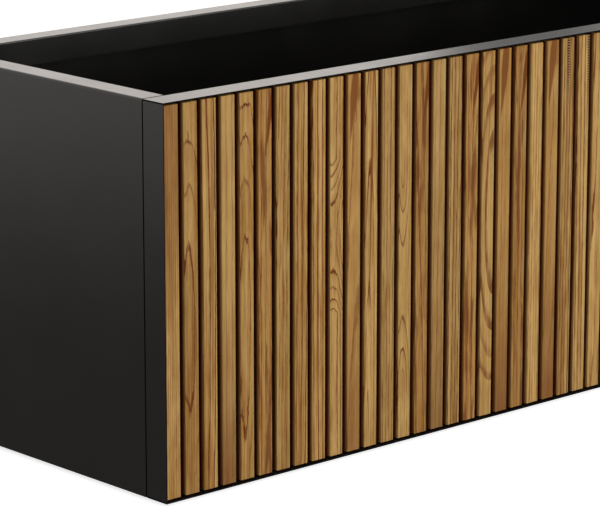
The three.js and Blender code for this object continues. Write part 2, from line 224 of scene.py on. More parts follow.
def oiled_softwood():
    """Softwood, sawn, planed and oiled: honey-brown earlywood with darker, redder lines of latewood.

    The growth rings are cylinders about the heart of the log, so the faces, the sides and the end grain of
    a slat agree. Each slat carries how it was sawn as attributes, in mm: heart (x, y and phase of the
    rings), lean (how the heart runs in x and y per mm of height, ring width), bow (how the heart curves in
    y per mm squared, how far the rings waver, how broken up the dark spindle is), bend (share of a ring
    that is dark, middle and half height of the curve), tone (lightness, redness, strength of the lines),
    streak (x at mid-height, lean, strength) and reach (low end, high end, half width of the spindle).
    """
    material, tree = new_material("oiled_softwood_planed")
    position = add_node(tree, "TexCoord").outputs["Object"]
    place = add_node(tree, "VectorMath", {0: position, 1: (1000, 1000, 1000)}, operation="MULTIPLY")
    heart, lean, bow, bend, tone, streak, reach = (
        add_node(tree, "Attribute", attribute_name=name).outputs["Vector"]
        for name in ("heart", "lean", "bow", "bend", "tone", "streak", "reach")
    )
    x, y, z = add_node(tree, "SeparateXYZ", {0: place}).outputs
    phase = add_node(tree, "SeparateXYZ", {0: heart}).outputs["Z"]
    ring_width = add_node(tree, "SeparateXYZ", {0: lean}).outputs["Z"]
    curve, wander, broken = add_node(tree, "SeparateXYZ", {0: bow}).outputs
    dark_share, bend_middle, bend_half = add_node(tree, "SeparateXYZ", {0: bend}).outputs
    lightness, redness, lines = add_node(tree, "SeparateXYZ", {0: tone}).outputs
    band_x, band_lean, band_strength = add_node(tree, "SeparateXYZ", {0: streak}).outputs
    band_low, band_high, band_half = add_node(tree, "SeparateXYZ", {0: reach}).outputs
    above = add_node(tree, "Math", {0: z, 1: SLAT_MIDDLE}, operation="SUBTRACT")

    # Own stretch of noise for each slat, drawn out along the grain to four lengths
    own = add_node(tree, "VectorMath", {0: heart, 1: (3.7, 5.3, 171), 2: place}, operation="MULTIPLY_ADD")
    along, smears, hairs, fibres = (
        add_node(tree, "VectorMath", {0: own, 1: (1, 1, upwards)}, operation="MULTIPLY")
        for upwards in (0.2, 0.08, 0.035, 0.022)
    )
    waver = add_node(tree, "TexNoise", {"Vector": along, "Scale": 1 / 12, "Detail": 4, "Roughness": 0.66})

    # Distance from the heart of the log, which leans and curves
    leaning = add_node(tree, "VectorMath", {0: lean, "Scale": above}, operation="SCALE")
    from_bend = add_node(tree, "Math", {0: z, 1: bend_middle}, operation="SUBTRACT")
    from_bend = add_node(tree, "Math", {0: from_bend}, operation="ABSOLUTE")
    from_bend = add_node(tree, "Math", {0: from_bend, 1: bend_half}, operation="MINIMUM")
    squared = add_node(tree, "Math", {0: from_bend, 1: from_bend}, operation="MULTIPLY")
    backwards = add_node(tree, "Math", {0: squared, 1: curve}, operation="MULTIPLY")
    bowed = add_node(tree, "CombineXYZ", {"Y": backwards})
    bent = add_node(tree, "VectorMath", {0: leaning, 1: bowed}, operation="ADD")
    heart_here = add_node(tree, "VectorMath", {0: heart, 1: bent}, operation="ADD")
    away = add_node(tree, "VectorMath", {0: place, 1: heart_here}, operation="SUBTRACT")
    flat = add_node(tree, "VectorMath", {0: away, 1: (1, 1, 0)}, operation="MULTIPLY")
    radius = add_node(tree, "VectorMath", {0: flat}, operation="LENGTH").outputs["Value"]
    radius = add_node(tree, "Math", {0: waver, 1: wander, 2: radius}, operation="MULTIPLY_ADD")
    turns = add_node(tree, "Math", {0: radius, 1: ring_width}, operation="DIVIDE")
    rings = add_node(tree, "Math", {0: turns, 1: phase}, operation="ADD")

    # One year: pale earlywood, then latewood that darkens and ends abruptly. Its lines fade in patches
    year = add_node(tree, "Math", {0: rings}, operation="FLOOR")
    season = add_node(tree, "Math", {0: rings}, operation="FRACT")
    summer = {"Value": season, "From Min": 0.2, "From Max": 0.9, "To Max": 0.25}
    summer = add_node(tree, "MapRange", summer, interpolation_type="SMOOTHSTEP")
    autumn_start = add_node(tree, "Math", {0: LATE_END, 1: dark_share}, operation="SUBTRACT")
    autumn_end = add_node(tree, "Math", {0: dark_share, 1: -0.4, 2: LATE_END}, operation="MULTIPLY_ADD")
    autumn = {"Value": season, "From Min": autumn_start, "From Max": autumn_end, "To Max": 1.0}
    autumn = add_node(tree, "MapRange", autumn, interpolation_type="SMOOTHSTEP")
    winter = {"Value": season, "From Min": LATE_END, "From Max": 1.0, "To Min": 1.0, "To Max": 0.0}
    winter = add_node(tree, "MapRange", winter, interpolation_type="SMOOTHSTEP")
    weather = add_node(tree, "TexWhiteNoise", {"W": year}, noise_dimensions="1D")
    dry_years = add_node(tree, "MapRange", {"Value": weather, "To Min": 0.65, "To Max": 1.15})
    patchy = add_node(tree, "TexNoise", {"Vector": along, "Scale": 1 / 6, "Detail": 1})
    patchy = {"Value": patchy, "From Min": 0.35, "From Max": 0.55, "To Min": 0.6}
    fading = add_node(tree, "MapRange", patchy)
    late = add_node(tree, "Math", {0: summer, 1: autumn}, operation="ADD")
    for factor in (winter, dry_years, fading):
        late = add_node(tree, "Math", {0: late, 1: factor}, operation="MULTIPLY")
    late = add_node(tree, "Math", {0: late, 1: lines}, operation="MULTIPLY", use_clamp=True)

    # Fibres, drawn 2 to 4 mm wide where real ones are 0.1 mm, so that they show
    fibre = add_node(tree, "TexNoise", {"Vector": fibres, "Scale": 1 / 3.6, "Detail": 2, "Roughness": 0.6})
    hair = add_node(tree, "TexNoise", {"Vector": hairs, "Scale": 1 / 1.9, "Detail": 2, "Roughness": 0.6})
    stripe = add_node(tree, "TexNoise", {"Vector": fibres, "Scale": 1 / 9, "Detail": 2})
    grain = add_node(tree, "Math", {0: stripe, 1: 1.4, 2: -2.0}, operation="MULTIPLY_ADD")
    for streaks in (fibre, hair):
        grain = add_node(tree, "Math", {0: streaks, 1: 1.3, 2: grain}, operation="MULTIPLY_ADD")
    depth = add_node(tree, "Math", {0: redness, 1: 0.6, 2: -0.15}, operation="MULTIPLY_ADD")
    depth = add_node(tree, "Math", {0: waver, 1: depth}, operation="ADD")
    depth = {0: grain, 1: lines, 2: depth}
    depth = add_node(tree, "Math", depth, operation="MULTIPLY_ADD", use_clamp=True)

    # Red slats have soft smudges of resin, and plain ones, cut from the butt of the log, darken downwards
    smudge = add_node(tree, "TexNoise", {"Vector": smears, "Scale": 1 / 8, "Detail": 3, "Roughness": 0.6})
    smudge = {"Value": smudge, "From Min": 0.5, "From Max": 0.62, "To Max": 0.75}
    smudge = add_node(tree, "MapRange", smudge)
    resinous = add_node(tree, "MapRange", {"Value": redness, "From Min": 0.29, "From Max": 0.33})
    smudge = add_node(tree, "Math", {0: smudge, 1: resinous}, operation="MULTIPLY")
    lower = add_node(tree, "MapRange", {"Value": z, "From Min": 330, "From Max": 30, "To Max": 0.75})
    lower = add_node(tree, "Math", {0: lower, 1: 1.8}, operation="POWER")
    plain = add_node(tree, "MapRange", {"Value": lines, "From Min": 0.6, "From Max": 0.4})
    butt = add_node(tree, "Math", {0: lower, 1: plain}, operation="MULTIPLY")
    darker = add_node(tree, "Math", {0: smudge, 1: butt}, operation="MAXIMUM")
    wood = linear("#E0B974")
    for share, stain_and_shade in ((depth, "#9A6A2A"), (redness, "#A86A24"), (late, "#74360C"), (darker, "#6E3612")):
        wood = add_node(tree, "Mix", {0: share, 6: wood, 7: linear(stain_and_shade)}, data_type="RGBA")
        wood = wood.outputs[COLOURS]

    # A spindle of dark, resinous wood, pointed at both ends. One that is broken up is a row of black dots
    band_middle = add_node(tree, "Math", {0: above, 1: band_lean, 2: band_x}, operation="MULTIPLY_ADD")
    offset = add_node(tree, "Math", {0: x, 1: band_middle}, operation="SUBTRACT")
    aside = add_node(tree, "Math", {0: offset}, operation="ABSOLUTE")
    rise = add_node(tree, "Math", {0: z, 1: band_low}, operation="SUBTRACT")
    fall = add_node(tree, "Math", {0: band_high, 1: z}, operation="SUBTRACT")
    length = add_node(tree, "Math", {0: rise, 1: fall}, operation="ADD")
    nearer = add_node(tree, "Math", {0: rise, 1: fall}, operation="MINIMUM")
    taper = add_node(tree, "Math", {0: nearer, 1: length}, operation="DIVIDE")
    taper = add_node(tree, "MapRange", {"Value": taper, "From Max": 0.45})
    half_here = add_node(tree, "Math", {0: band_half, 1: taper}, operation="MULTIPLY")
    ragged = add_node(tree, "Math", {0: fibre, 1: 2.4, 2: -1.2}, operation="MULTIPLY_ADD")
    inside = add_node(tree, "Math", {0: half_here, 1: aside}, operation="SUBTRACT")
    inside = add_node(tree, "Math", {0: inside, 1: ragged}, operation="ADD")
    soft = add_node(tree, "Math", {0: band_half, 1: 0.3}, operation="MULTIPLY")
    soft = add_node(tree, "Math", {0: soft, 1: 1.0}, operation="MAXIMUM")
    there = add_node(tree, "MapRange", {"Value": nearer, "From Max": 20})
    dots = add_node(tree, "Math", {0: z, 1: 2 * math.pi / RESIN_DOT}, operation="MULTIPLY")
    dots = add_node(tree, "Math", {0: dots}, operation="SINE")
    dots = {"Value": dots, "From Min": -0.8, "From Max": 0.1}
    dots = add_node(tree, "MapRange", dots, interpolation_type="SMOOTHSTEP")
    whole = add_node(tree, "Math", {0: 1.0, 1: broken}, operation="SUBTRACT")
    unbroken = add_node(tree, "Math", {0: dots, 1: whole}, operation="MAXIMUM")
    dark = add_node(tree, "MapRange", {"Value": inside, "From Min": -0.5, "From Max": soft})
    for factor in (there, unbroken, band_strength):
        dark = add_node(tree, "Math", {0: dark, 1: factor}, operation="MULTIPLY")
    colours = {0: broken, 6: linear("#78400F"), 7: linear("#17100A")}
    resin = add_node(tree, "Mix", colours, data_type="RGBA").outputs[COLOURS]
    wood = add_node(tree, "Mix", {0: dark, 6: wood, 7: resin}, data_type="RGBA").outputs[COLOURS]

    wood = add_node(tree, "Mix", {0: 1.0, 6: wood, 7: lightness}, data_type="RGBA", blend_type="MULTIPLY")
    wood = wood.outputs[COLOURS]

    # Painted shade on the sides, which face into the gaps between slats: they turn red just behind the
    # face, and almost black towards the back
    sideways = add_node(tree, "SeparateXYZ", {0: add_node(tree, "TexCoord").outputs["Normal"]}).outputs["X"]
    sideways = add_node(tree, "Math", {0: sideways}, operation="ABSOLUTE")
    sideways = add_node(tree, "MapRange", {"Value": sideways, "From Min": 0.75, "From Max": 1.0})
    red = (2, 5, 0.85, "LINEAR", "#7C3212")
    black = (0, 9, 0.97, "SMOOTHSTEP", "#220A03")
    for start, end, most, grade, stain_and_shade in (red, black):
        gap_shade = {"Value": y, "From Min": SLAT_FACE + start, "From Max": SLAT_FACE + end, "To Max": most}
        gap_shade = add_node(tree, "MapRange", gap_shade, interpolation_type=grade)
        shade_on_side = add_node(tree, "Math", {0: sideways, 1: gap_shade}, operation="MULTIPLY")
        wood = add_node(tree, "Mix", {0: shade_on_side, 6: wood, 7: linear(stain_and_shade)}, data_type="RGBA")
        wood = wood.outputs[COLOURS]
    relief = add_node(tree, "Math", {0: fibre, 1: 0.8, 2: late}, operation="MULTIPLY_ADD")
    surface = {
        "Base Color": wood,
        "Roughness": add_node(tree, "MapRange", {"Value": late, "To Min": 0.66, "To Max": 0.54}),
        "IOR": 1.47,
        "Specular IOR Level": 0.15,
        "Normal": add_node(tree, "Bump", {"Height": relief, "Distance": 0.05 * MM, "Strength": 1.0}),
    }
    add_node(tree, "OutputMaterial", {0: add_node(tree, "BsdfPrincipled", surface)})
    return material


def hot_dip_galvanised():
    """Hot-dip galvanised steel sheet: dull grey zinc with the crystals that it sets in."""
    material, tree = new_material("hot_dip_galvanised_steel_sheet")
    place = add_node(tree, "TexCoord").outputs["Object"]
    wobble = add_node(tree, "TexNoise", {"Vector": place, "Scale": per_metre(4), "Detail": 2})
    bend = {0: wobble.outputs["Color"], 1: [1.5 * MM] * 3, 2: place}
    bent = add_node(tree, "VectorMath", bend, operation="MULTIPLY_ADD")
    crystals = add_node(tree, "TexVoronoi", {"Vector": bent, "Scale": per_metre(9)}).outputs["Color"]
    facet = add_node(tree, "SeparateColor", {0: crystals})
    colours = {0: facet, 6: linear("#8A8F92"), 7: linear("#ADB1B3")}
    colour = add_node(tree, "Mix", colours, data_type="RGBA").outputs[COLOURS]
    grit = add_node(tree, "TexNoise", {"Vector": place, "Scale": per_metre(1.2), "Detail": 2})
    surface = {
        "Base Color": colour,
        "Metallic": 1.0,
        "Roughness": add_node(tree, "MapRange", {"Value": facet, "To Min": 0.34, "To Max": 0.55}),
        "Normal": add_node(tree, "Bump", {"Height": grit, "Distance": 0.01 * MM, "Strength": 1.0}),
    }
    add_node(tree, "OutputMaterial", {0: add_node(tree, "BsdfPrincipled", surface)})
    return material


def zinc_plated():
    """Zinc-plated steel, rolled or cut: bright, with a faint straw tint from the chromate rinse."""
    material, tree = new_material("zinc_plated_steel_bright")
    place = add_node(tree, "TexCoord").outputs["Object"]
    stain_and_shade = add_node(tree, "TexNoise", {"Vector": place, "Scale": per_metre(5), "Detail": 3})
    colours = {0: stain_and_shade, 6: linear("#B4B9BF"), 7: linear("#C4C0AE")}
    colour = add_node(tree, "Mix", colours, data_type="RGBA").outputs[COLOURS]
    spread = {"Value": stain_and_shade, **NOISE_SPAN, "To Min": 0.24, "To Max": 0.36}
    grit = add_node(tree, "TexNoise", {"Vector": place, "Scale": per_metre(0.6), "Detail": 2})
    surface = {
        "Base Color": colour,
        "Metallic": 1.0,
        "Roughness": add_node(tree, "MapRange", spread),
        "Normal": add_node(tree, "Bump", {"Height": grit, "Distance": 0.008 * MM, "Strength": 1.0}),
    }
    add_node(tree, "OutputMaterial", {0: add_node(tree, "BsdfPrincipled", surface)})
    return material


def moulded_nylon():
    """Glass-filled nylon, moulded in a sparked tool: dull black with a fine even grain."""
    material, tree = new_material("glass_filled_nylon_moulded")
    place = add_node(tree, "TexCoord").outputs["Object"]
    grain = add_node(tree, "TexNoise", {"Vector": place, "Scale": per_metre(0.5), "Detail": 2})
    cloud = add_node(tree, "TexNoise", {"Vector": place, "Scale": per_metre(12), "Detail": 2})
    colours = {0: cloud, 6: linear("#161617"), 7: linear("#1E1E20")}
    colour = add_node(tree, "Mix", colours, data_type="RGBA").outputs[COLOURS]
    spread = {"Value": grain, **NOISE_SPAN, "To Min": 0.5, "To Max": 0.62}
    surface = {
        "Base Color": colour,
        "Roughness": add_node(tree, "MapRange", spread),
        "IOR": 1.53,
        "Normal": add_node(tree, "Bump", {"Height": grain, "Distance": 0.02 * MM, "Strength": 1.0}),
    }
    add_node(tree, "OutputMaterial", {0: add_node(tree, "BsdfPrincipled", surface)})
    return material


def black_rubber(name, dark, bloomed):
    """Black rubber or sealer, moulded or drawn by gun: matt, with a greyish bloom."""
    material, tree = new_material(name)
    place = add_node(tree, "TexCoord").outputs["Object"]
    bloom = add_node(tree, "TexNoise", {"Vector": place, "Scale": per_metre(7), "Detail": 3})
    colours = {0: bloom, 6: linear(dark), 7: linear(bloomed)}
    colour = add_node(tree, "Mix", colours, data_type="RGBA").outputs[COLOURS]
    spread = {"Value": bloom, **NOISE_SPAN, "To Min": 0.66, "To Max": 0.8}
    grain = add_node(tree, "TexNoise", {"Vector": place, "Scale": per_metre(0.8), "Detail": 2})
    surface = {
        "Base Color": colour,
        "Roughness": add_node(tree, "MapRange", spread),
        "IOR": 1.5,
        "Normal": add_node(tree, "Bump", {"Height": grain, "Distance": 0.02 * MM, "Strength": 1.0}),
    }
    add_node(tree, "OutputMaterial", {0: add_node(tree, "BsdfPrincipled", surface)})
    return material


# Folded sheet pieces

SHEET = 1.5 * MM
BURR = 0.25 * MM  # radius that the coat gives a cut edge
SEAT_GAP = 0.3 * MM  # between pieces that are welded or laid together
NEAR = 0.1 * MM  # a point this close to a plane counts as on it
WELD_STUD = 12.5  # mm from the back of the tray to the ends of its weld studs
BODY_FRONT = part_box("left_end_panel")[0].y
PANEL_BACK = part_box("back_panel")[1].y
PANEL_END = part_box("right_end_panel")[1].x
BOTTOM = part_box("left_end_panel")[0].z
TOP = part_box("left_end_panel")[1].z
LIP_HEIGHT = 35 * MM  # top of the rim to the bottom edge of its lip
LIP_LOW = TOP - LIP_HEIGHT
BASE_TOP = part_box("base_pan")[1].z
TRAY_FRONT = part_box("cassette_tray")[0].y
TRAY_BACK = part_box("cassette_tray")[1].y - WELD_STUD * MM
RAILS = ("slat_rail_lower", "slat_rail_middle", "slat_rail_upper")


def on_mitre(point):
    """True close to the upright planes in which the end panels and the back panel meet."""
    return abs((PANEL_END - abs(point.x)) - (PANEL_BACK - point.y)) < 1.5 * SEAT_GAP


def at_panel_edge(middle, normal):
    """True on the cut edges of a panel at its front, at its foot and under its lip."""
    if normal.y < -0.9:
        return abs(middle.y - BODY_FRONT) < NEAR
    return normal.z < -0.9 and min(abs(middle.z - BOTTOM), abs(middle.z - LIP_LOW)) < NEAR


def at_tray_edge(middle, normal):
    """True on the cut edges of the tray: at its front, and at the ends of its flanges and returns."""
    in_flange = abs(abs(middle.z - (BOTTOM + TOP) / 2) - (TOP - BOTTOM) / 2) < 1.1 * SHEET
    on_front = normal.y < -0.9 and abs(middle.y - TRAY_FRONT) < NEAR
    flange_end = abs(normal.x) > 0.9 and abs(abs(middle.x) - PANEL_END) < NEAR and in_flange
    return_end = abs(normal.z) > 0.9 and abs(middle.x) > PANEL_END - SHEET - NEAR and not in_flange
    return on_front or flange_end or return_end


def open_copy_of_node(node, name, parts="EDGE"):
    """A bare copy of a CAD node's shape, joined up and open in edit mode with all of it chosen."""
    piece = bpy.data.objects.new(name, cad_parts[node].data.copy())
    bpy.context.scene.collection.objects.link(piece)
    piece.data.name = name
    piece.data.materials.clear()
    open_piece(piece, parts)
    choose_all()
    bpy.ops.mesh.remove_doubles(threshold=0.01 * MM)
    return piece


def dissolve_flats():
    """Makes one face of all that lie flat beside each other."""
    bpy.ops.mesh.dissolve_limited(angle_limit=math.radians(0.5))


def sheet_piece(node, name, material, cut_edge=None, cut_faces=None):
    """A sheet piece made from the CAD node: joined up, with its edges eased and, where cut_faces says so,
    finished as cut edges."""
    piece = open_copy_of_node(node, name)
    piece.data.materials.append(material)
    dissolve_flats()
    if cut_edge:
        piece.data.materials.append(cut_edge)
        bpy.ops.mesh.select_mode(type="FACE")
        choose_none()
        choose_faces(piece, cut_faces)
        piece.active_material_index = 1
        bpy.ops.object.material_slot_assign()
    bpy.ops.mesh.select_mode(type="EDGE")
    choose_none()
    choose_edges(piece, lambda a, b: not (on_mitre(a) and on_mitre(b)), math.radians(40))
    bpy.ops.mesh.bevel(offset=BURR, segments=2, affect="EDGES", clamp_overlap=False)
    close_piece()
    smooth(piece)
    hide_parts(node)
    return piece


def build_sheet_pieces(coat, edge, galvanised):
    """Panels, walls, base, tray and rails in their coat, and the two foot channels galvanised."""
    sheets = [
        sheet_piece(node, node + "_coated", coat, edge, at_panel_edge)
        for node in ("left_end_panel", "right_end_panel", "back_panel")
    ]
    sheets += [sheet_piece(node, node + "_coated", coat) for node in ("front_wall", "base_pan")]

    # The tray loses the CAD's plain weld studs, for finer ones
    tray = sheet_piece("cassette_tray", "cassette_tray_coated", coat, edge, at_tray_edge)
    open_piece(tray, "FACE")
    choose_faces(tray, lambda middle, normal: middle.y > TRAY_BACK + NEAR / 2)
    bpy.ops.mesh.delete(type="FACE")
    choose_all()
    bpy.ops.mesh.fill_holes(sides=0)
    close_piece()

    sheets += [tray] + [sheet_piece(rail, rail + "_coated", coat) for rail in RAILS]
    for piece in sheets:
        dress(piece, "planter", coat)
    for node in ("foot_channel_left", "foot_channel_right"):
        piece = sheet_piece(node, node + "_galvanised", galvanised)
        dress(piece, "planter", galvanised)


def corner_weld(panel, side, coat):
    """Weld along the mitre of a back corner, ground flush: a copy of the end panel's mitred edge, thickened
    to fill the gap to the back panel."""
    piece = open_copy_of_node(panel, panel.replace("end_panel", "corner_weld"), "FACE")
    choose_none()
    choose_faces(piece, lambda middle, normal: not 0.6 < normal.y < 0.8)
    bpy.ops.mesh.delete(type="FACE")
    choose_all()
    dissolve_flats()
    step = SEAT_GAP * math.sqrt(0.5)
    bpy.ops.mesh.extrude_region_move(TRANSFORM_OT_translate={"value": (-side * step, step, 0)})
    choose_all()
    bpy.ops.mesh.normals_make_consistent(inside=False)
    close_piece()
    smooth(piece)
    dress(piece, "planter", coat)


# Slats

# How each slat was sawn, from left to right. Heart: mm from the middle of the slat to the heart of the log,
# to the right and behind the face. Lean: mm that the heart moves to the right and backwards for each 100 mm
# of height. Bow: mm that it curves backwards at 100 mm from the middle of the curve. Ring: mm from one
# growth ring to the next. Phase: share of a ring that all are shifted by. Waver: mm that the rings wander.
# Light, red and lines: lightness, redness, strength of the lines. Dark: share of a ring that is dark.
SAWN = [
    # heart, lean, bow, ring, phase, waver, light, red, lines, dark
    (62, 6, 0.4, 0.0, 0.0, 3.0, 0.37, 2, 1.03, 0.16, 0.70, 0.30),
    (-4, 17, 0.3, 2.1, 2.7, 6.1, 0.42, 4, 0.90, 0.25, 0.80, 0.10),
    (-24, 26, 1.2, 0.8, 0.6, 6.4, 0.11, 3, 0.96, 0.20, 0.95, 0.22),
    (55, 48, 0.2, 0.1, 0.0, 7.5, 0.48, 4, 0.94, 0.12, 0.35, 0.20),
    (-3, 9.5, 0.4, 2.6, 2.2, 4.8, 0.82, 5, 0.95, 0.22, 0.80, 0.13),
    (24, 22, -0.9, 1.5, 0.0, 6.0, 0.22, 4, 0.98, 0.33, 0.65, 0.20),
    (38, 30, 1.2, 0.4, 0.4, 4.6, 0.59, 6, 0.89, 0.15, 0.75, 0.20),
    (-20, 18, 1.6, 0.6, 0.0, 6.2, 0.96, 4, 0.96, 0.20, 0.95, 0.22),
    (44, 12, -0.5, 0.4, 0.0, 7.6, 0.48, 3, 1.00, 0.16, 0.90, 0.20),
    (-6, 36, -0.6, 0.0, -7.6, 1.8, 0.08, 2, 0.97, 0.15, 0.90, 0.21),
    (8, 34, 0.8, 2.2, 0.0, 6.0, 0.07, 4, 1.02, 0.26, 0.45, 0.16),
    (-3, 7, 1.0, 3.1, 0.0, 4.8, 0.44, 2, 1.00, 0.12, 1.00, 0.12),
    (-34, 24, 0.4, 0.3, 0.0, 4.6, 0.81, 4, 0.87, 0.10, 0.75, 0.20),
    (-4, 14, -0.6, 0.0, -7.0, 4.2, 0.60, 3, 0.98, 0.06, 0.68, 0.14),
    (-18, 30, -1.4, 1.4, 0.0, 5.6, 0.55, 4, 0.92, 0.36, 0.65, 0.20),
    (44, 40, 0.5, 0.6, 0.0, 6.2, 0.92, 4, 0.87, 0.08, 0.45, 0.20),
    (-28, 18, 0.9, 0.5, 0.0, 5.0, 0.29, 4, 0.84, 0.10, 0.90, 0.22),
    (22, 26, -1.7, 1.0, 0.0, 5.6, 0.66, 4, 1.00, 0.33, 0.65, 0.20),
    (10, 12, 0.0, 0.0, 6.0, 8.0, 0.43, 2, 0.97, 0.08, 0.60, 0.45),
    (-36, 30, 0.6, 0.5, 0.0, 5.4, 0.40, 4, 0.99, 0.27, 0.35, 0.20),
    (26, 16, -1.2, 0.6, 0.0, 5.6, 0.77, 4, 0.90, 0.37, 0.65, 0.20),
    (-46, 20, 0.3, 0.2, 0.0, 4.4, 0.14, 3, 1.04, 0.04, 0.75, 0.20),
    (12, 32, 0.6, 1.6, 0.0, 6.0, 0.51, 4, 0.99, 0.26, 0.35, 0.16),
    (40, 22, 0.2, 0.3, 0.0, 5.0, 0.88, 3, 0.86, 0.15, 1.00, 0.24),
    (26, 22, -1.0, 0.5, 0.0, 5.0, 0.25, 3, 0.95, 0.08, 0.85, 0.22),
    (-10, 15, -1.0, -2.4, 0.0, 5.4, 0.62, 4, 1.02, 0.10, 0.75, 0.14),
    (-2, 22, 0.4, 3.2, 0.0, 4.2, 0.99, 3, 0.96, 0.25, 0.85, 0.14),
    (-40, 24, 0.5, 0.2, 0.0, 5.2, 0.36, 4, 0.95, 0.30, 0.65, 0.20),
    (16, 26, -1.0, 1.1, 0.0, 4.8, 0.73, 4, 1.00, 0.15, 0.75, 0.20),
    (58, 10, 0.3, 0.1, 0.0, 4.2, 0.10, 3, 0.93, 0.40, 0.70, 0.24),
    (-5, 11, 0.6, -2.4, 2.0, 4.2, 0.47, 3, 0.98, 0.20, 0.90, 0.12),
    (36, 26, -0.6, 0.8, 0.0, 6.4, 0.84, 4, 1.01, 0.12, 0.55, 0.20),
    (-22, 20, 1.1, 0.9, 0.0, 5.2, 0.21, 4, 0.96, 0.25, 0.85, 0.20),
    (50, 36, 0.1, 0.3, 0.0, 7.0, 0.58, 4, 1.00, 0.15, 0.40, 0.20),
    (4, 18, -0.3, 4.4, 0.0, 4.0, 0.95, 3, 0.97, 0.30, 0.85, 0.12),
    (-30, 22, -0.8, 0.4, 0.0, 5.0, 0.32, 4, 0.94, 0.35, 0.70, 0.22),
    (20, 24, 1.3, 1.2, 0.0, 5.8, 0.69, 4, 0.99, 0.18, 0.80, 0.20),
    (-48, 16, 0.2, 0.1, 0.0, 4.4, 0.06, 4, 0.96, 0.25, 0.70, 0.20),
    (0, 14, 1.0, 2.0, 2.2, 4.4, 0.43, 3, 1.00, 0.15, 0.95, 0.12),
    (42, 30, -0.7, 0.5, 0.0, 5.6, 0.80, 4, 0.95, 0.30, 0.60, 0.20),
    (-14, 28, 0.9, 1.8, 0.0, 5.0, 0.17, 4, 0.98, 0.20, 0.80, 0.20),
    (28, 14, 0.4, 0.3, 0.0, 5.2, 0.54, 4, 1.01, 0.12, 0.70, 0.22),
    (6, 30, -1.2, 2.6, 0.0, 4.2, 0.91, 4, 0.96, 0.28, 0.80, 0.14),
    (-60, 12, 0.3, 0.0, 0.0, 4.0, 0.28, 4, 0.92, 0.40, 0.70, 0.24),
]

# Slats whose heart curves over a part of their height: slat number, middle and half height in mm
CURVED = {2: (255, 200), 5: (260, 240), 10: (297, 100), 14: (222, 130), 19: (285, 230)}
CURVED_ALL_OVER = (SLAT_MIDDLE, 300)

# Spindles of dark, resinous wood: slat number, mm from its middle at mid-height, lean in mm per 100 mm of
# height, strength, low end and high end in mm above the floor, half width in mm, and how far it is broken
# up into dots
BANDS = {
    1: (0.0, 0.0, 0.5, 150, 900, 30.0, 0.0),
    2: (1.5, -1.0, 0.7, 60, 350, 1.1, 0.0),
    3: (3.5, 0.2, 0.5, 30, 640, 3.0, 0.0),
    5: (1.0, 0.6, 0.3, -80, 120, 3.0, 0.0),
    6: (-26.0, 16.0, 1.0, 400, 560, 4.5, 0.0),
    8: (1.0, -0.6, 0.6, 100, 640, 1.4, 0.0),
    9: (-3.0, -0.3, 0.7, 60, 460, 1.5, 0.0),
    11: (-23.0, 10.0, 0.85, 400, 560, 7.0, 0.0),
    12: (-2.0, 1.8, 0.8, 150, 640, 1.6, 0.0),
    13: (10.4, 0.0, 0.9, 300, 700, 1.6, 0.0),
    15: (-26.0, 16.0, 1.0, 400, 560, 4.5, 0.0),
    18: (-26.0, 16.0, 1.0, 400, 560, 4.5, 0.0),
    19: (-4.0, 3.6, 0.5, 300, 620, 3.0, 0.0),
    20: (-23.0, 10.0, 0.85, 400, 560, 7.0, 0.0),
    21: (-25.5, 16.0, 1.0, 395, 560, 5.0, 0.0),
    23: (-23.0, 10.0, 0.85, 400, 560, 7.0, 0.0),
    24: (-0.4, 0.0, 1.0, 345, 660, 3.0, 0.8),
    25: (8.6, 0.0, 1.0, 345, 660, 2.8, 0.8),
    29: (-3.0, 1.6, 0.6, 60, 300, 2.4, 0.0),
    33: (2.0, -0.8, 0.7, 300, 660, 5.0, 0.0),
    38: (5.0, 0.4, 0.6, -80, 240, 3.4, 0.0),
    41: (-1.0, 2.0, 0.7, 260, 620, 3.0, 0.0),
}
NO_BAND = (0, 0, 0, 0, 1, 1, 0)

TABLE_STEP = 100  # mm of height for which SAWN and BANDS give a lean or a bow
ARRIS = 1.0 * MM  # radius of the long edges of a slat
END_CHAMFER = 0.4 * MM  # on the edges of its sawn ends


def give_attribute(piece, name, value):
    """Writes one vector onto every point of a piece."""
    attribute = piece.data.attributes.new(name, "FLOAT_VECTOR", "POINT")
    attribute.data.foreach_set("vector", list(value) * len(piece.data.vertices))


def slat_node(number):
    return f"slat_{number:02d}"


def plane_slat():
    """One slat, planed to its section, with rounded arrises and chamfered ends."""
    low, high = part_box(slat_node(1))
    deselect_all()
    bpy.ops.mesh.primitive_cube_add(size=1, location=(low + high) / 2, scale=high - low)
    slat = settle(bpy.context.object, "slat_pattern")
    open_piece(slat)
    choose_edges(slat, lambda a, b: abs(a.z - b.z) > 100 * MM)
    bpy.ops.mesh.bevel(offset=ARRIS, segments=3, affect="EDGES")
    choose_none()
    choose_edges(slat, lambda a, b: abs(a.z - b.z) < 1 * MM)
    bpy.ops.mesh.bevel(offset=END_CHAMFER, segments=1, affect="EDGES")
    close_piece()
    smooth(slat)
    return slat


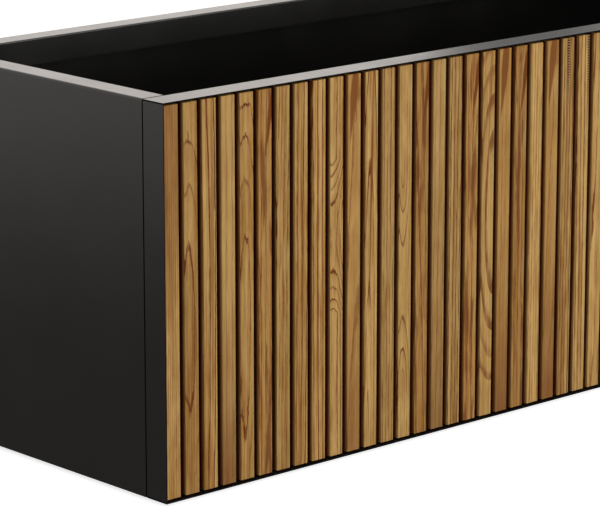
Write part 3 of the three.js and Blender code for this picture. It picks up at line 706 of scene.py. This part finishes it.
def hang_slats(wood):
    """A copy of the slat for each place in the cassette, carrying how it was sawn."""
    pattern = plane_slat()
    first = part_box(slat_node(1))[0]
    for number, sawn in enumerate(SAWN, 1):
        heart_x, heart_y, lean_x, lean_y, bow, ring, phase, waver, light, red, lines, dark = sawn
        aside, slope, strength, start, end, half, broken = BANDS.get(number, NO_BAND)
        low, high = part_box(slat_node(number))
        slat = copy_of(pattern, slat_node(number) + "_oiled", low - first)
        middle = (low.x + high.x) / 2 / MM
        face = low.y / MM
        give_attribute(slat, "heart", (middle + heart_x, face + heart_y, phase))
        give_attribute(slat, "lean", (lean_x / TABLE_STEP, lean_y / TABLE_STEP, ring))
        give_attribute(slat, "bow", (bow / TABLE_STEP**2, waver, broken))
        give_attribute(slat, "bend", (dark, *CURVED.get(number, CURVED_ALL_OVER)))
        give_attribute(slat, "tone", (light, red, lines))
        give_attribute(slat, "streak", (middle + aside, slope / TABLE_STEP, strength))
        give_attribute(slat, "reach", (start, end, half))
        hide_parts(slat_node(number))
        dress(slat, "planter", wood)
    bpy.data.objects.remove(pattern)


# Fasteners, feet and plug

RAIL_MIDDLES = [(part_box(rail)[0].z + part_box(rail)[1].z) / 2 for rail in RAILS]
STUD_ROWS = [(low + high) / 2 for low, high in zip(RAIL_MIDDLES, RAIL_MIDDLES[1:])]
STUD_INSET = 60 * MM  # end of the planter to the outer weld studs
STUD_COLUMNS = [STUD_INSET - PANEL_END, 0, PANEL_END - STUD_INSET]


def upright_bar(name, radius, low, high, place=(0, 0), sides=48):
    """An upright bar of mm sizes, open in edit mode with nothing chosen."""
    deselect_all()
    bpy.ops.mesh.primitive_cylinder_add(
        vertices=sides,
        radius=radius * MM,
        depth=(high - low) * MM,
        location=(place[0] * MM, place[1] * MM, (low + high) / 2 * MM),
    )
    piece = settle(bpy.context.object, name)
    open_piece(piece, "FACE")
    return piece


def carry_on(piece, radius, rings):
    """Goes on from the chosen end face of a turned piece, through rings of (radius, height) in mm."""
    mesh = bmesh.from_edit_mesh(piece.data)
    height = next(face for face in mesh.faces if face.select).calc_center_median().z / MM
    for next_radius, next_height in rings:
        bpy.ops.mesh.extrude_region_move(
            TRANSFORM_OT_translate={"value": (0, 0, (next_height - height) * MM)}
        )
        grow = next_radius / radius
        bpy.ops.transform.resize(value=(grow, grow, 1))
        radius, height = next_radius, next_height
    choose_none()


def choose_top(piece):
    choose_faces(piece, lambda middle, normal: normal.z > 0.9)


def choose_bottom(piece):
    choose_faces(piece, lambda middle, normal: normal.z < -0.9)


def cut_thread(name, major, pitch, low, high, place=(0, 0)):
    """A metric thread of mm sizes, major the radius over its crests: one tooth, wound up by a Screw
    modifier and cut off flat at both ends."""
    minor = major - 0.6 * pitch
    deselect_all()
    bpy.ops.mesh.primitive_plane_add(size=pitch * MM, location=(minor * MM, 0, (low - pitch) * MM))
    piece = settle(bpy.context.object, name)
    open_piece(piece, "VERT")
    choose_all()
    bpy.ops.mesh.merge(type="CENTER")
    choose_all()
    flank = 0.4 * pitch * MM
    flat = 0.1 * pitch * MM
    reach = (major - minor) * MM
    for across, up in ((reach, flank), (0, flat), (-reach, flank), (0, flat)):
        bpy.ops.mesh.extrude_vertices_move(TRANSFORM_OT_translate={"value": (across, 0, up)})
    close_piece()
    turns = math.ceil((high - low) / pitch) + 2
    winding = {"screw_offset": pitch * MM, "iterations": turns, "steps": 20, "render_steps": 20}
    apply_modifier(piece, "SCREW", use_merge_vertices=True, **winding)
    open_piece(piece)
    choose_all()
    bpy.ops.mesh.remove_doubles(threshold=0.005 * MM)
    for level, outwards in ((low, -1), (high, 1)):
        choose_all()
        bpy.ops.mesh.bisect(
            plane_co=(0, 0, level * MM), plane_no=(0, 0, outwards), use_fill=True, clear_outer=True
        )
    choose_all()
    bpy.ops.mesh.normals_make_consistent(inside=False)
    close_piece()
    piece.location = (place[0] * MM, place[1] * MM, 0)
    return settle(piece, name)


def join_up(first, *others):
    """Makes one piece of several that are welded or moulded to each other."""
    deselect_all()
    for piece in (first, *others):
        piece.select_set(True)
    bpy.context.view_layer.objects.active = first
    bpy.ops.object.join()
    return first


def chamfered_hexagon(name, across_flats, low, high, place=(0, 0)):
    """A hexagon head or nut with its corners taken off at the top."""
    piece = upright_bar(name, across_flats / math.sqrt(3), low, high, place, sides=6)
    choose_top(piece)
    bpy.ops.mesh.bevel(offset=0.7 * MM, segments=2, affect="EDGES")
    close_piece()
    return piece


def screw_in_feet(nylon, zinc):
    """Levelling feet: a nylon pad with a recessed sole, moulded onto a zinc-plated stud with a hexagon."""
    pad_radius = 20
    neck = [(19.6, 4.1), (14, 5.8), (12.6, 6.6), (12, 7.9), (11.8, 8), (7.9, 8), (7.6, 7.4)]
    sole = [(18.5, 0.2), (18.1, 0), (15.6, 0), (15.3, 1), (11.6, 1), (11.3, 0), (8, 0), (7.7, 1)]
    for foot in ("foot_front_left", "foot_front_right", "foot_back_left", "foot_back_right"):
        node = "levelling_" + foot
        low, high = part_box(node)
        place = ((low.x + high.x) / 2 / MM, (low.y + high.y) / 2 / MM)
        pad = upright_bar(node + "_pad", pad_radius, 1.5, 3.6, place)
        choose_top(pad)
        carry_on(pad, pad_radius, neck)
        choose_bottom(pad)
        carry_on(pad, pad_radius, sole)
        close_piece()
        smooth(pad)
        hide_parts(node)
        dress(pad, foot, nylon)
        hexagon = chamfered_hexagon("hexagon", 13, 7.2, 12.5, place)
        thread = cut_thread("thread", 4, 1.25, 12.2, high.z / MM, place)
        stud = join_up(hexagon, thread)
        stud.name = node + "_stud"
        stud.data.name = node + "_stud"
        smooth(stud)
        dress(stud, foot, zinc)


def press_in_plug(rubber):
    """Drain plug: a knob to pull it by, a flange that seals on the base and a hollow stem with two lips."""
    low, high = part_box("drain_plug")
    seat = (BASE_TOP + SEAT_GAP) / MM
    top = high.z / MM
    bottom = low.z / MM
    flange = 17.6
    knob = [(16.9, seat + 2.3), (16, seat + 2.5), (8, seat + 2.5), (6.4, seat + 3.1), (6.2, seat + 4.2),
            (7, top - 1.2), (6.6, top - 0.3), (5.8, top), (3.6, top), (3, top - 0.4)]
    stem = [(12.1, seat), (12.1, 33), (12.6, 32.6), (12.6, 32), (12, 31.4), (12, 29.6), (12.6, 29),
            (12.5, 28.4), (11.8, bottom + 0.6), (11.3, bottom), (9.4, bottom), (9, bottom + 0.6),
            (9, seat - 0.5), (8.4, seat)]
    plug = upright_bar("drain_plug_moulded", flange, seat, seat + 1.6)
    choose_top(plug)
    carry_on(plug, flange, knob)
    choose_bottom(plug)
    carry_on(plug, flange, stem)
    close_piece()
    smooth(plug)
    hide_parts("drain_plug")
    dress(plug, "drain_plug", rubber)


def lay_sealer(sealer):
    """A bead of sealer round the base, where it meets the walls."""
    left, front, back = PANEL_END - SHEET, BODY_FRONT + SHEET, PANEL_BACK - SHEET
    width = 2.0 * MM
    deselect_all()
    bpy.ops.mesh.primitive_plane_add(size=1, location=(0, (front + back) / 2, BASE_TOP))
    bead = bpy.context.object
    bead.scale = (2 * left, back - front, 1)
    settle(bead, "base_seam_sealer")
    open_piece(bead, "FACE")
    choose_all()
    bpy.ops.mesh.inset(thickness=width)
    bpy.ops.mesh.delete(type="FACE")
    choose_all()
    bpy.ops.mesh.extrude_region_move(TRANSFORM_OT_translate={"value": (0, 0, width)})
    choose_all()
    bpy.ops.mesh.normals_make_consistent(inside=False)
    bpy.ops.mesh.select_mode(type="EDGE")
    choose_none()
    top = BASE_TOP + width / 2
    choose_edges(
        bead,
        lambda a, b: min(a.z, b.z) > top and max(abs(a.x), abs(b.x)) < left - width / 2
        and min(a.y, b.y) > front + width / 2 and max(a.y, b.y) < back - width / 2,
    )
    bpy.ops.mesh.bevel(offset=0.85 * width, segments=4, affect="EDGES")
    close_piece()
    smooth(bead, angle=50)
    dress(bead, "planter", sealer)


def fasten_cassette(zinc):
    """Threaded weld studs on the back of the cassette, each with a flange nut inside the front wall."""
    stud = cut_thread("stud", 3, 1.0, 0, WELD_STUD)
    open_piece(stud, "FACE")
    choose_top(stud)
    bpy.ops.mesh.inset(thickness=0.5 * MM)
    close_piece()
    nut = chamfered_hexagon("nut", 10, 1.2, 6)
    flange_radius = 7.1
    flange = upright_bar("flange", flange_radius, 0, 0.7)
    choose_top(flange)
    carry_on(flange, flange_radius, [(6.9, 1.0), (5.4, 1.6)])
    close_piece()
    nut = join_up(nut, flange)
    for piece, start in ((stud, TRAY_BACK), (nut, BODY_FRONT + SHEET)):
        piece.rotation_euler = (math.radians(-90), 0, 0)
        settle(piece, piece.name)
        smooth(piece)
        for row, height in enumerate(STUD_ROWS, 1):
            for column, x in enumerate(STUD_COLUMNS, 1):
                twin = copy_of(piece, f"cassette_{piece.name}_{row}_{column}", (x, start, height))
                dress(twin, "planter", zinc)
    bpy.data.objects.remove(stud)
    bpy.data.objects.remove(nut)


def screw_slats(zinc):
    """Pan-head screws through each rail into the backs of the slats, one row a rail. Few faces each."""
    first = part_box(slat_node(1))
    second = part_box(slat_node(2))
    pitch = second[0].x - first[0].x
    shank = 1.7
    for rail, height in zip(RAILS, RAIL_MIDDLES):
        screw = upright_bar("screw", shank, -11, 1.8, sides=8)
        choose_bottom(screw)
        carry_on(screw, shank, [(0.2, -13)])
        choose_top(screw)
        carry_on(screw, shank, [(3.6, 1.8), (3.6, 2.8), (2.6, 3.9), (1.4, 4.1), (1.1, 3.0)])
        close_piece()
        screw.rotation_euler = (math.radians(-90), 0, 0)
        screw.location = ((first[0].x + first[1].x) / 2, first[1].y, height)
        settle(screw, rail.replace("rail", "screws"))
        apply_modifier(screw, "ARRAY", count=len(SAWN), use_relative_offset=False, use_constant_offset=True,
                       constant_offset_displace=(pitch, 0, 0))
        smooth(screw)
        dress(screw, "planter", zinc)


# Studio


def studio_floor():
    """Plain pale floor, lifted to white for the rays that see it, with the planter's shadow kept. Glossy
    rays see a painted shade on it instead, graded from dark beside the planter to white further out."""
    deselect_all()
    bpy.ops.mesh.primitive_plane_add(size=40, location=(0, 0, 0))
    floor = bpy.context.object
    floor.name = "studio_floor"
    material, tree = new_material("studio_floor_white_paint")
    rays = add_node(tree, "LightPath").outputs
    looking = {0: rays["Is Camera Ray"], 1: rays["Is Transmission Ray"]}
    seen = add_node(tree, "Math", looking, operation="MAXIMUM")
    lift = add_node(tree, "Math", {0: seen, 1: 0.8}, operation="MULTIPLY")
    paint = add_node(tree, "BsdfDiffuse", {"Color": linear("#E8E8E8")})
    glow = add_node(tree, "Emission", {"Color": (1, 1, 1, 1), "Strength": lift})
    lit = add_node(tree, "AddShader", {0: paint, 1: glow})
    # Painted shade for reflections: an emission graded by the distance from the planter
    place = add_node(tree, "TexCoord").outputs["Object"]
    distance = add_node(tree, "VectorMath", {0: place}, operation="LENGTH").outputs["Value"]
    grade = {"Value": distance, "From Min": 1.1, "From Max": 3.8, "To Min": 0.2, "To Max": 1.0}
    level = add_node(tree, "MapRange", grade, interpolation_type="SMOOTHSTEP")
    graded = add_node(tree, "Emission", {"Color": linear("#FFF8F2"), "Strength": level})
    both = add_node(tree, "MixShader", {0: rays["Is Glossy Ray"], 1: lit, 2: graded})
    add_node(tree, "OutputMaterial", {0: both})
    floor.data.materials.append(material)


def studio_world():
    """White for the rays that see it, and a soft even light for the rest."""
    world = bpy.data.worlds.new("studio_world")
    bpy.context.scene.world = world
    world.use_nodes = True
    tree = world.node_tree
    tree.nodes.clear()
    rays = add_node(tree, "LightPath").outputs
    looking = {0: rays["Is Camera Ray"], 1: rays["Is Transmission Ray"]}
    seen = add_node(tree, "Math", looking, operation="MAXIMUM")
    seen = add_node(tree, "Math", {0: seen, 1: rays["Is Glossy Ray"]}, operation="MAXIMUM")
    fill = add_node(tree, "Background", {"Color": (1, 1, 1, 1), "Strength": 0.18})
    white = add_node(tree, "Background", {"Color": linear("#FFFAF5"), "Strength": 1.0})
    add_node(tree, "OutputWorld", {0: add_node(tree, "MixShader", {0: seen, 1: fill, 2: white})})


def softbox(name, place, aim, width, height, radiance, colour="#FFFFFF"):
    """A flat lamp that faces aim. radiance is how bright its face looks."""
    lamp = bpy.data.lights.new(name, "AREA")
    lamp.shape = "RECTANGLE"
    lamp.size = width
    lamp.size_y = height
    lamp.energy = radiance * width * height * math.pi
    lamp.color = linear(colour)[:3]
    holder = bpy.data.objects.new(name, lamp)
    holder.location = place
    holder.rotation_euler = (Vector(aim) - Vector(place)).to_track_quat("-Z", "Y").to_euler()
    holder.visible_camera = False
    bpy.context.scene.collection.objects.link(holder)


def grey_card(name, place, aim, width, height, shade):
    """A grey card that only reflections see, to shape them."""
    deselect_all()
    bpy.ops.mesh.primitive_plane_add(size=1, location=place)
    board = bpy.context.object
    board.name = name
    board.scale = (width, height, 1)
    board.rotation_euler = (Vector(aim) - Vector(place)).to_track_quat("Z", "Y").to_euler()
    material, tree = new_material(name + "_paper")
    add_node(tree, "OutputMaterial", {0: add_node(tree, "Emission", {"Color": linear(shade)})})
    board.data.materials.append(material)
    board.visible_camera = False
    board.visible_diffuse = False
    board.visible_transmission = False
    board.visible_shadow = False


def studio_lamps():
    softbox("overhead_softbox", (0.2, -0.3, 3.2), (0, 0, 0.3), 3.0, 3.0, 0.55)
    softbox("front_softbox", (1.9, -4.0, 0.80), (0, -0.2, 0.3), 2.6, 1.1, 7.4)
    softbox("left_softbox", (-2.2, -3.5, 2.1), (0.2, 0, 0.4), 1.8, 1.4, 5.2)
    softbox("back_softbox", (1.6, 4.2, 1.6), (1.6, 0, 1.3), 5.3, 1.8, 0.56, "#FFF4EC")
    grey_card("back_right_card", (4.44, 4.0, 1.5), (4.44, 0, 1.4), 0.86, 2.6, "#8C8C8C")


def studio_camera():
    """Seen from the front left, a little above the rim, as in the photograph."""
    lens = bpy.data.cameras.new("camera")
    lens.lens = 200.67
    lens.sensor_width = 36
    lens.sensor_fit = "HORIZONTAL"
    camera = bpy.data.objects.new("camera", lens)
    camera.location = (-3.17705, -3.24313, 1.26246)
    camera.rotation_euler = (math.radians(76.4004), 0, math.radians(-42.4055))
    bpy.context.scene.collection.objects.link(camera)
    bpy.context.scene.camera = camera


coat = powder_coat_on_sheet()
edge = powder_coat_on_cut_edge()
bright_zinc = zinc_plated()
build_sheet_pieces(coat, edge, hot_dip_galvanised())
corner_weld("left_end_panel", -1, coat)
corner_weld("right_end_panel", 1, coat)
hang_slats(oiled_softwood())
screw_in_feet(moulded_nylon(), bright_zinc)
press_in_plug(black_rubber("epdm_rubber_moulded", "#121213", "#202022"))
lay_sealer(black_rubber("polyurethane_sealer_drawn_by_gun", "#141413", "#1C1C1B"))
fasten_cassette(bright_zinc)
screw_slats(bright_zinc)

studio_floor()
studio_world()
studio_lamps()
studio_camera()
bpy.context.scene.view_settings.view_transform = "Standard"
